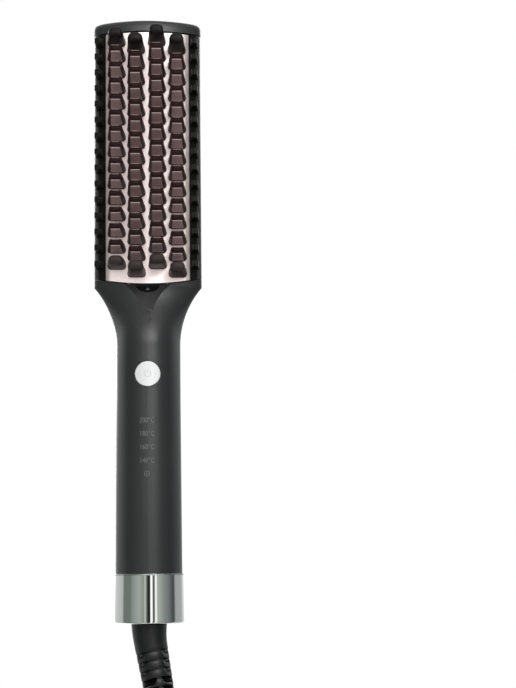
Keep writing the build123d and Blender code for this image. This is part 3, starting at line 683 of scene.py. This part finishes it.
def capShape(length, rise=None):
    # a plain cap, or a domed one whose dome stands up by the rise
    domed = rise is not None
    width, height, thick = caps["flange"]
    rootFront = thick + caps["collar"]
    bm = bmesh.new()
    addSlab(bm, width, height, 0, -thick, *caps["flangeCorners"], 2)
    addSlab(bm, *caps["root"], -thick / 2, -rootFront, *caps["domeCorners" if domed else "corners"],
            3 if domed else 2)
    steps = caps["domeSteps" if domed else "tipSteps"]
    reach = length - rootFront - sum(step[0] for step in steps)
    verts = extrudeForward(bm, reach, *caps["domeTip" if domed else "tip"])
    bmesh.ops.translate(bm, verts=verts, vec=(0, 0, rise if domed else -caps["tipDrop"]))
    pads = [f for f in bm.faces if abs(f.normal.z) > 0.96 and f.calc_center_median().y < -rootFront - 1]
    for step in steps:
        extrudeForward(bm, *step)
    if not domed:
        paintCap(bm, pads, length)
    for vert in bm.verts:
        share = caps["drawIn"] * max(0.0, vert.co.z - caps["earLine"]) * (caps["domeDrawIn"] if domed else 1)
        vert.co.x *= 1 - share
    return bm


def smoothOver(piece, finish):
    # faces of one finish shade without creases
    mesh = piece.data
    index = mesh.materials.find(finish.name)
    smooth = {key for face in mesh.polygons if face.material_index == index for key in face.edge_keys}
    for edge in mesh.edges:
        if edge.key in smooth:
            edge.use_edge_sharp = False


def makeCaps():
    for label, node, place, offset, seat, tip, rises in caps["columns"]:
        shapes = [takeMesh("cap", capShape(seat - tip, rise)) for rise in (None, *rises)]
        plain, lowest, top = shapes
        between = [(plain, None)] * (caps["rows"] - 2)
        column = [(lowest, sootyToothPlastic), *between, (top, endToothPlastic)]
        bm = bmesh.new()
        for row, (shape, finish) in enumerate(column):
            firstVert, firstFace = len(bm.verts), len(bm.faces)
            bm.from_mesh(shape)
            bm.verts.ensure_lookup_table()
            bm.faces.ensure_lookup_table()
            middle = (place * caps["columnPitch"], seat, caps["first"] + offset + row * caps["pitch"])
            bmesh.ops.translate(bm, verts=bm.verts[firstVert:], vec=middle)
            if finish:
                for face in bm.faces[firstFace:]:
                    paint(face, finish)
        moveIntoFrame(bm, (0, 0, 0))
        piece = makePiece("toothCaps" + label, bm, "comb", toothPlastic,
                          sharpAngle=caps["sharpAngle"])
        for finish in capFinishes[1:]:
            piece.data.materials.append(finish)
        smoothOver(piece, endToothPlastic)
        smoothOver(piece, sootyToothPlastic)
        easeEdges(piece, caps["edge"], caps["edgeAngle"])
        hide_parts("tooth_caps_" + node)
        for shape in shapes:
            bpy.data.meshes.remove(shape)


makeCaps()
print("tooth caps ready")


# Guard combs: their own shapes with eased edges, which catch a thin line of light

guards = {
    "edge": 0.28,       # millimetres of rounding
    "sharpAngle": 30,
    "bandFrom": 21.85,  # from here outward the strip is lacquered like the shell, but paler: a painted highlight
    "bandFront": -2.3,  # and from here back
}


def makeGuard(side):
    node = "side_comb_" + side
    cut = guards["bandFrom"] / 1000 * (1 if side == "right" else -1)
    bm = bmesh.new()
    bm.from_mesh(nodes[node].data)
    bmesh.ops.remove_doubles(bm, verts=bm.verts, dist=0.000005)
    bmesh.ops.dissolve_limit(bm, angle_limit=radians(1), verts=bm.verts, edges=bm.edges)
    bmesh.ops.bisect_plane(bm, geom=bm.verts[:] + bm.edges[:] + bm.faces[:], dist=0.000001,
                           plane_co=(cut, 0, 0), plane_no=(1, 0, 0))
    guard = makePiece("guardComb" + side.capitalize(), bm, "comb", combNylon,
                      sharpAngle=guards["sharpAngle"], recalculate=False)
    easeEdges(guard, guards["edge"], guards["sharpAngle"])
    # the strip's outer band takes the paler lacquer: a painted highlight
    guard.data.materials.append(rimHighlightLacquer)
    for face in guard.data.polygons:
        if abs(face.center.x) * 1000 > guards["bandFrom"] and face.center.y * 1000 > guards["bandFront"]:
            face.material_index = 1
    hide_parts(node)


for side in ("left", "right"):
    makeGuard(side)
print("guards ready")


# Chrome cuff, turned from one outline

cuff = {
    # radius and height
    "outline": [(9.0, 0.0), (14.4, 0.0), (14.75, 0.06), (15.02, 0.22), (15.15, 0.48), (15.2, 0.8),
                (15.21, 1.2), (15.205, 1.6), (14.907, 20.5), (14.9, 20.9), (14.86, 21.05), (14.76, 21.12),
                (14.6, 21.15), (13.75, 21.15), (13.75, 1.2), (9.0, 1.2)],
    "steps": 144,
    "rimFrom": 20.55,       # above this height the plate is satin
}


def spinOutline(outline, steps):
    bm = bmesh.new()
    verts = [bm.verts.new((radius / 1000, 0, height / 1000 - gripHeight)) for radius, height in outline]
    edges = [bm.edges.new(pair) for pair in zip(verts, verts[1:] + verts[:1])]
    bmesh.ops.spin(bm, geom=verts + edges, cent=(0, 0, 0), axis=(0, 0, 1), dvec=(0, 0, 0), angle=2 * pi,
                   steps=steps, use_merge=True, use_duplicate=False)
    bmesh.ops.remove_doubles(bm, verts=bm.verts, dist=0.0000001)
    return bm


cuffPiece = makePiece("chromeCuff", spinOutline(cuff["outline"], cuff["steps"]), "comb",
                      chromePlate)
cuffPiece.data.materials.append(satinChrome)
for face in cuffPiece.data.polygons:
    if (face.center.z + gripHeight) * 1000 > cuff["rimFrom"]:
        face.material_index = 1
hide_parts("cuff_sleeve")
print("cuff ready")


# Cord boot: a plain neck that bends to the right, then rings parted by slots that let it flex

boot = {
    "topRadius": 7.75,
    "neckRadius": 7.15,
    "neckDepth": 8.5,
    "endRadius": 6.1,
    "length": 45.0,
    "top": 0.3,                 # from the cuff's lower edge down to the boot's upper face
    "topEdge": 0.2,
    "endEdge": (0.5, 0.6),      # inward, upward
    "tilt": 10.0,
    "bendFrom": 0.6,
    "bendTo": 10.0,
    "plain": 11.4,              # down to the first groove
    "plainRows": (1.5, 1.2, 0.6),       # first depth, spacing, and the gap kept above the first groove
    "endPlain": 1.0,            # no groove starts this near to the end
    "ringPitch": 3.9,
    "line": (0.7, 0.45),        # depth and height of the fine groove between the slots
    "slot": (3.2, 2.0),         # depth and height of the slots
    "slotAngles": (-45, 60, 135, 240),      # degrees round from the front, rightward
    "slotHalf": 17,
    "wideSlot": (3.5, 2.7),
    "wideAngles": (-32, 54, 148, 234),
    "wideHalf": 27,
    "wideFrom": 3,              # rings from this one on have wide slots
    "slotFade": 7,              # degrees each side of a slot's end over which it turns into the line
    "arch": 1.1,                # the grooves rise this much at front and back
    "archTurn": 8,
    "sideDepth": 0.25,          # share of its depth that a groove keeps at the sides
    "lip": [(0, -0.45), (0.04, -0.2), (0.1, -0.04)],        # inward, down from the groove's upper edge
    "wall": 0.06,               # the groove's walls slope over twice this height
    "shoulder": (0.55, 0.24, 0.05),     # inward at the ring's upper edge, halfway and at its crown
    "crown": (1.7, 0.55),       # the crown's drop below the groove, and its least gap to the next one
    "shadeFrom": 0.8,            # painted shade fills the wide slots from this far in
    "dullLead": 0.3,            # and from this far above the first of them
    "steps": 120,
}


def bootRadius(depth):
    if depth < boot["neckDepth"]:
        return boot["topRadius"] + depth / boot["neckDepth"] * (boot["neckRadius"] - boot["topRadius"])
    share = (depth - boot["neckDepth"]) / (boot["length"] - boot["neckDepth"])
    return boot["neckRadius"] + share * (boot["endRadius"] - boot["neckRadius"])


def grooveLine(row, turn):
    # radius and depth of the eight points from above a groove to the crown of the ring under it
    kind = "wide" if row >= boot["wideFrom"] else "slot"
    opening = boot["wideSlot"] if kind == "wide" else boot["slot"]
    away = min(abs((turn - slot + 180) % 360 - 180) for slot in boot[kind + "Angles"])
    share = max(0.0, min(1.0, (boot[kind + "Half"] + boot["slotFade"] - away) / (2 * boot["slotFade"])))
    share = share * share * (3 - 2 * share)
    sink, height = [fine + share * (wide - fine) for fine, wide in zip(boot["line"], opening)]
    facing = boot["sideDepth"] + (1 - boot["sideDepth"]) * cos(radians(turn)) ** 2
    sink *= facing + share * (1 - facing)
    crown = min(height + boot["crown"][0], boot["ringPitch"] - boot["crown"][1])
    wall = boot["wall"]
    edge, halfway, last = [facing * inward for inward in boot["shoulder"]]
    steps = boot["lip"] + [(sink, wall), (sink, height - wall), (edge, height + wall),
                           (halfway, (height + crown) / 2), (last, crown)]
    top = boot["plain"] + row * boot["ringPitch"]
    top += boot["arch"] * sin(radians(turn - boot["archTurn"])) ** 2
    return [(bootRadius(top + down) - inward, top + down) for inward, down in steps]


def bootOutline():
    # the outline where the arch is highest, and the row and point that each depth in a groove stands for
    top, edge, end = boot["top"], boot["topEdge"], boot["length"]
    outline = [(0, -top), (boot["topRadius"] - edge, -top), (boot["topRadius"], -top - edge)]
    depth, spacing, gap = boot["plainRows"]
    while depth < boot["plain"] - gap:
        outline.append((bootRadius(depth), -depth))
        depth += spacing
    places = {}
    for row in range(int((end - boot["plain"] - boot["arch"] - boot["endPlain"]) / boot["ringPitch"])):
        for count, (radius, depth) in enumerate(grooveLine(row, boot["archTurn"])):
            outline.append((radius, -depth))
            places[round(depth, 3)] = (row, count)
    inward, upward = boot["endEdge"]
    outline += [(bootRadius(end), -end + upward), (bootRadius(end) - inward, -end), (0, -end)]
    return outline, places


def bendBoot(bm):
    tilt = radians(boot["tilt"])
    start, stop = boot["bendFrom"], boot["bendTo"]
    curveRadius = (stop - start) / tilt
    for vert in bm.verts:
        depth = (-gripHeight - vert.co.z) * 1000
        angle = tilt * max(0.0, min(1.0, (depth - start) / (stop - start)))
        along = max(0.0, depth - stop)
        x = curveRadius * (1 - cos(angle)) + along * sin(tilt)
        z = -(min(depth, start) + curveRadius * sin(angle) + along * cos(tilt))
        across = vert.co.x * 1000
        vert.co = inFrame((x + across * cos(angle), vert.co.y * 1000, z + across * sin(angle)))


def makeBoot():
    outline, places = bootOutline()
    bm = spinOutline(outline, boot["steps"])
    for vert in bm.verts:
        place = places.get(round((-gripHeight - vert.co.z) * 1000, 3))
        if place:
            row, count = place
            turn = atan2(vert.co.x, -vert.co.y)
            radius, depth = grooveLine(row, degrees(turn))[count]
            vert.co = inFrame((radius * sin(turn), -radius * cos(turn), -depth))
    wideTop = boot["plain"] + boot["wideFrom"] * boot["ringPitch"] - boot["dullLead"]
    # faces deep in the wide slots take the near-black recess finish: painted shade
    for face in bm.faces:
        middle = face.calc_center_median()
        depth = (-gripHeight - middle.z) * 1000
        inward = bootRadius(depth) - hypot(middle.x, middle.y) * 1000
        if inward > boot["shadeFrom"] and wideTop < depth < boot["length"] - boot["endPlain"]:
            face.material_index = 1
    bendBoot(bm)
    return bm


bootPiece = makePiece("cordBoot", makeBoot(), "swivel", bootRubber, sharpAngle=50)
bootPiece.data.materials.append(recessShadeBlack)    # painted shade on the insides of the wide slots
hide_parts("cord_boot")
print("boot ready")


# Two-pin plug at the cord's end, moulded on, with a ribbed sleeve where the cord comes out

plug = {
    "place": (-42.2, 12.0, -92.0),      # middle of the rear face; it points toward the front
    "sides": 40,
    # distance toward the pins, width, height, squareness
    "sections": [
        (-9.0, 6.6, 6.6, 2), (-8.8, 7.2, 7.2, 2), (-7.4, 7.5, 7.5, 2), (-7.2, 6.5, 6.5, 2),
        (-6.2, 6.6, 6.6, 2), (-6.0, 7.8, 7.8, 2), (-4.8, 8.0, 8.0, 2), (-4.6, 6.8, 6.8, 2),
        (-3.6, 6.9, 6.9, 2), (-3.4, 8.3, 8.3, 2), (-2.2, 8.5, 8.5, 2), (-2.0, 7.1, 7.1, 2),
        (-1.0, 7.2, 7.2, 2), (-0.8, 8.8, 8.8, 2), (-0.1, 9.2, 9.0, 2), (0.1, 10.6, 9.6, 2.3),
        (0.6, 11.4, 10.2, 2.4), (5.0, 13.8, 11.4, 2.7), (6.4, 14.8, 11.7, 2.8), (6.7, 13.6, 11.7, 2.8),
        (7.7, 14.4, 11.9, 2.9), (8.0, 16.0, 12.0, 2.9), (9.4, 17.1, 12.3, 3.0), (9.7, 15.9, 12.3, 3.0),
        (10.7, 16.7, 12.5, 3.1), (11.0, 18.3, 12.5, 3.1), (12.4, 19.6, 12.8, 3.2),
        (12.7, 18.4, 12.8, 3.2), (13.7, 19.3, 12.9, 3.3), (14.0, 20.9, 12.9, 3.3),
        (15.4, 22.4, 13.1, 3.4), (19.5, 28.2, 13.4, 3.8), (22.0, 32.6, 13.5, 4.4),
        (23.4, 34.2, 13.6, 4.8), (25.0, 34.7, 13.6, 5), (34.3, 34.9, 13.6, 5), (35.2, 34.4, 13.1, 5),
        (35.8, 33.2, 11.9, 5), (36.0, 31.6, 10.6, 5),
    ],
    "spacing": 18.6,
    "pinSides": 28,
    # radius, distance from the body
    "sleeve": [(0, -0.5), (1.9, -0.5), (1.9, 9.9), (1.8, 10.05), (0, 10.05)],
    "tip": [(0, 10.0), (1.85, 10.0), (2.0, 10.15), (2.0, 18.0), (1.86, 18.5), (1.5, 18.8), (0.9, 18.97),
            (0, 19.0)],
}


def addSection(bm, distance, width, height, power):
    loop = bmesh.ops.create_circle(bm, cap_ends=False, segments=plug["sides"], radius=1)["verts"]
    for vert in loop:
        x, z = vert.co.x, vert.co.y
        vert.co.x = copysign(abs(x) ** (2 / power), x) * width / 2
        vert.co.z = copysign(abs(z) ** (2 / power), z) * height / 2
        vert.co.y = -distance
    return list({edge for vert in loop for edge in vert.link_edges})


def makePlugBody():
    bm = bmesh.new()
    before = None
    for section in plug["sections"]:
        edges = addSection(bm, *section)
        if before:
            bmesh.ops.bridge_loops(bm, edges=before + edges)
        before = edges
    bmesh.ops.holes_fill(bm, edges=bm.edges[:], sides=0)
    moveIntoFrame(bm, plug["place"])
    return makePiece("plugBody", bm, "swivel", cordVinyl)


def makePins(name, outline, finish):
    x, y, z = plug["place"]
    front = y - plug["sections"][-1][0]
    pins = bmesh.new()
    for side in (-1, 1):
        one = spinOutline(outline, plug["pinSides"])
        bmesh.ops.translate(one, verts=one.verts, vec=(0, 0, gripHeight))
        bmesh.ops.rotate(one, verts=one.verts, cent=(0, 0, 0), matrix=Matrix.Rotation(pi / 2, 3, "X"))
        bmesh.ops.translate(one, verts=one.verts, vec=inFrame((x + side * plug["spacing"] / 2, front, z)))
        mesh = takeMesh("onePin", one)
        pins.from_mesh(mesh)
        bpy.data.meshes.remove(mesh)
    return makePiece(name, pins, "swivel", finish)


plugBody = makePlugBody()
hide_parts("plug_body")
pinTips = makePins("plugPinTips", plug["tip"], nickelPlate)
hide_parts("plug_pins")
pinSleeves = makePins("plugPinSleeves", plug["sleeve"], cordVinyl)
print("plug ready")


# Hook-and-loop strap round the coil, its free end lying on top of the first layer

strap = {
    "place": (-9.2, -8.5, -108.0),
    "width": 8.0,
    "thick": 0.9,
    "half": 9.9,        # from the middle to the tape's own middle
    "start": 4.0,       # the inner end lies this far toward the back
    "corner": 3.4,
    "cornerSteps": 6,
    "overlap": 1.0,
    "tab": [(-2.0, 10.9), (-6.0, 10.92), (-7.6, 11.05), (-8.8, 11.3)],     # toward the front, up
    "tabCorner": 2.2,
    "tabSteps": 4,
}


def strapLine():
    # the tape's middle line, toward the back and up, in millimetres from the strap's place
    inner = strap["half"] - strap["corner"]
    line = [(strap["start"], strap["half"]), (0.0, strap["half"])]
    for count, (back, up) in enumerate(((-1, 1), (-1, -1), (1, -1), (1, 1))):
        for step in range(strap["cornerSteps"] + 1):
            share = step / strap["cornerSteps"]
            angle = radians(90 + 90 * count + 90 * share)
            radius = strap["corner"] + (strap["overlap"] * share if count == 3 else 0)
            line.append((back * inner + radius * cos(angle), up * inner + radius * sin(angle)))
    return line + strap["tab"]


def makeStrap():
    half, thick = strap["width"] / 2, strap["thick"]
    bm = bmesh.new()
    verts = [bm.verts.new((-half, back, up)) for back, up in strapLine()]
    edges = [bm.edges.new(pair) for pair in zip(verts, verts[1:])]
    region = bmesh.ops.extrude_edge_only(bm, edges=edges)["geom"]
    farVerts = [e for e in region if isinstance(e, bmesh.types.BMVert)]
    bmesh.ops.translate(bm, verts=farVerts, vec=(strap["width"], 0, 0))
    bmesh.ops.recalc_face_normals(bm, faces=bm.faces)
    bmesh.ops.solidify(bm, geom=bm.faces[:] + bm.edges[:] + bm.verts[:], thickness=thick)
    # the two upright edges at the free end are rounded
    tipBack, tipUp = strap["tab"][-1]
    corners = [e for e in bm.edges if abs(e.calc_length() - thick) < 0.05
               and all(abs(abs(v.co.x) - half) < 0.01
                       and hypot(v.co.y - tipBack, v.co.z - tipUp) < 1.1 * thick for v in e.verts)]
    bmesh.ops.bevel(bm, geom=corners, offset=strap["tabCorner"], segments=strap["tabSteps"], affect="EDGES",
                    profile=0.5, material=-1)
    moveIntoFrame(bm, strap["place"])
    return makePiece("cordStrap", bm, "swivel", pileTape)


cordStrap = makeStrap()
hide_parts("cord_tie")
print("strap ready")


# Printed marks: heat settings and a small sign on the handle, an on-off sign on the button

marks = {
    "values": ["140°C", "160°C", "180°C", "200°C"],
    "firstHeight": 69.5,
    "pitch": 5.8,
    "size": 3.1,
    "squeeze": 0.82,
    "middle": -0.35,
    "handleRadius": 14.15,
    "handleFootRadius": 14.5,
    "taperTop": 96.0,
    "cuffHeight": 21.15,
    "lift": 0.04,
    "signHeight": 63.9,
    "sign": (1.25, 0.25),       # radius and width of its line
    "signDot": 0.28,            # the dot's radius, as a share of the ring's
    "buttonHeight": 107.2,
    "buttonFront": 14.45,
    "buttonLift": 0.02,
    "power": (1.5, 0.26),
    "powerGap": 0.5,            # half the opening, then the bar's length and middle, as shares of the radius
    "powerBar": (1.1, 0.7),
}


def wrapForward(bm, radius, height, middle):
    # lays a flat drawing, X right and Y up in millimetres, on the front of an upright cylinder
    for vert in bm.verts:
        x = vert.co.x + middle
        vert.co = inFrame((x, -sqrt(radius ** 2 - x ** 2), height + vert.co.y))


def handleSurface(height):
    # the grip widens a little from under the button down to the cuff
    share = max(0.0, (marks["taperTop"] - height) / (marks["taperTop"] - marks["cuffHeight"]))
    radius = marks["handleRadius"] + share * (marks["handleFootRadius"] - marks["handleRadius"])
    return radius + marks["lift"]


def makeValue(label, text, height):
    curve = bpy.data.curves.new("figures", "FONT")
    curve.body = text
    curve.size = marks["size"]
    curve.align_x = "CENTER"
    curve.align_y = "CENTER"
    curve.resolution_u = 3
    writing = addObject("figures", curve)
    bpy.context.view_layer.update()
    flat = bpy.data.meshes.new_from_object(writing)
    bm = bmesh.new()
    bm.from_mesh(flat)
    bpy.data.objects.remove(writing)
    bpy.data.curves.remove(curve)
    bpy.data.meshes.remove(flat)
    bmesh.ops.triangulate(bm, faces=bm.faces)
    bmesh.ops.scale(bm, verts=bm.verts, vec=(marks["squeeze"], 1, 1))
    wrapForward(bm, handleSurface(height), height, marks["middle"])
    makePiece("value" + label, bm, "comb", greyInk, recalculate=False)


def makeRingSign(name, ring, height, middle, surface, body, finish, openTop):
    radius, width = ring
    bm = bmesh.new()
    bmesh.ops.create_circle(bm, cap_ends=True, segments=36, radius=radius)
    bmesh.ops.inset_region(bm, faces=bm.faces[:], thickness=width, use_boundary=True)
    inner = [f for f in bm.faces if len(f.verts) > 4]
    bmesh.ops.delete(bm, geom=inner, context="FACES_ONLY")
    if openTop:
        gap = [f for f in bm.faces if f.calc_center_median().y > 0
               and abs(f.calc_center_median().x) < radius * marks["powerGap"]]
        bmesh.ops.delete(bm, geom=gap, context="FACES")
        length, barMiddle = marks["powerBar"]
        bar = bmesh.ops.create_grid(bm, x_segments=1, y_segments=4, size=0.5)["verts"]
        bmesh.ops.scale(bm, verts=bar, vec=(width, radius * length, 1))
        bmesh.ops.translate(bm, verts=bar, vec=(0, radius * barMiddle, 0))
    else:
        bmesh.ops.create_circle(bm, cap_ends=True, segments=12, radius=radius * marks["signDot"])
    wrapForward(bm, surface, height, middle)
    for face in bm.faces:
        face.normal_update()
        if face.normal.y > 0:
            face.normal_flip()
    makePiece(name, bm, body, finish, recalculate=False)


for count, text in enumerate(marks["values"]):
    makeValue(str(count + 1), text, marks["firstHeight"] + count * marks["pitch"])
makeRingSign("smallSign", marks["sign"], marks["signHeight"], marks["middle"],
             handleSurface(marks["signHeight"]), "comb", greyInk, False)
makeRingSign("powerSign", marks["power"], marks["buttonHeight"], 0.0,
             marks["buttonFront"] + marks["buttonLift"], "button", paleInk, True)
print("marks ready")
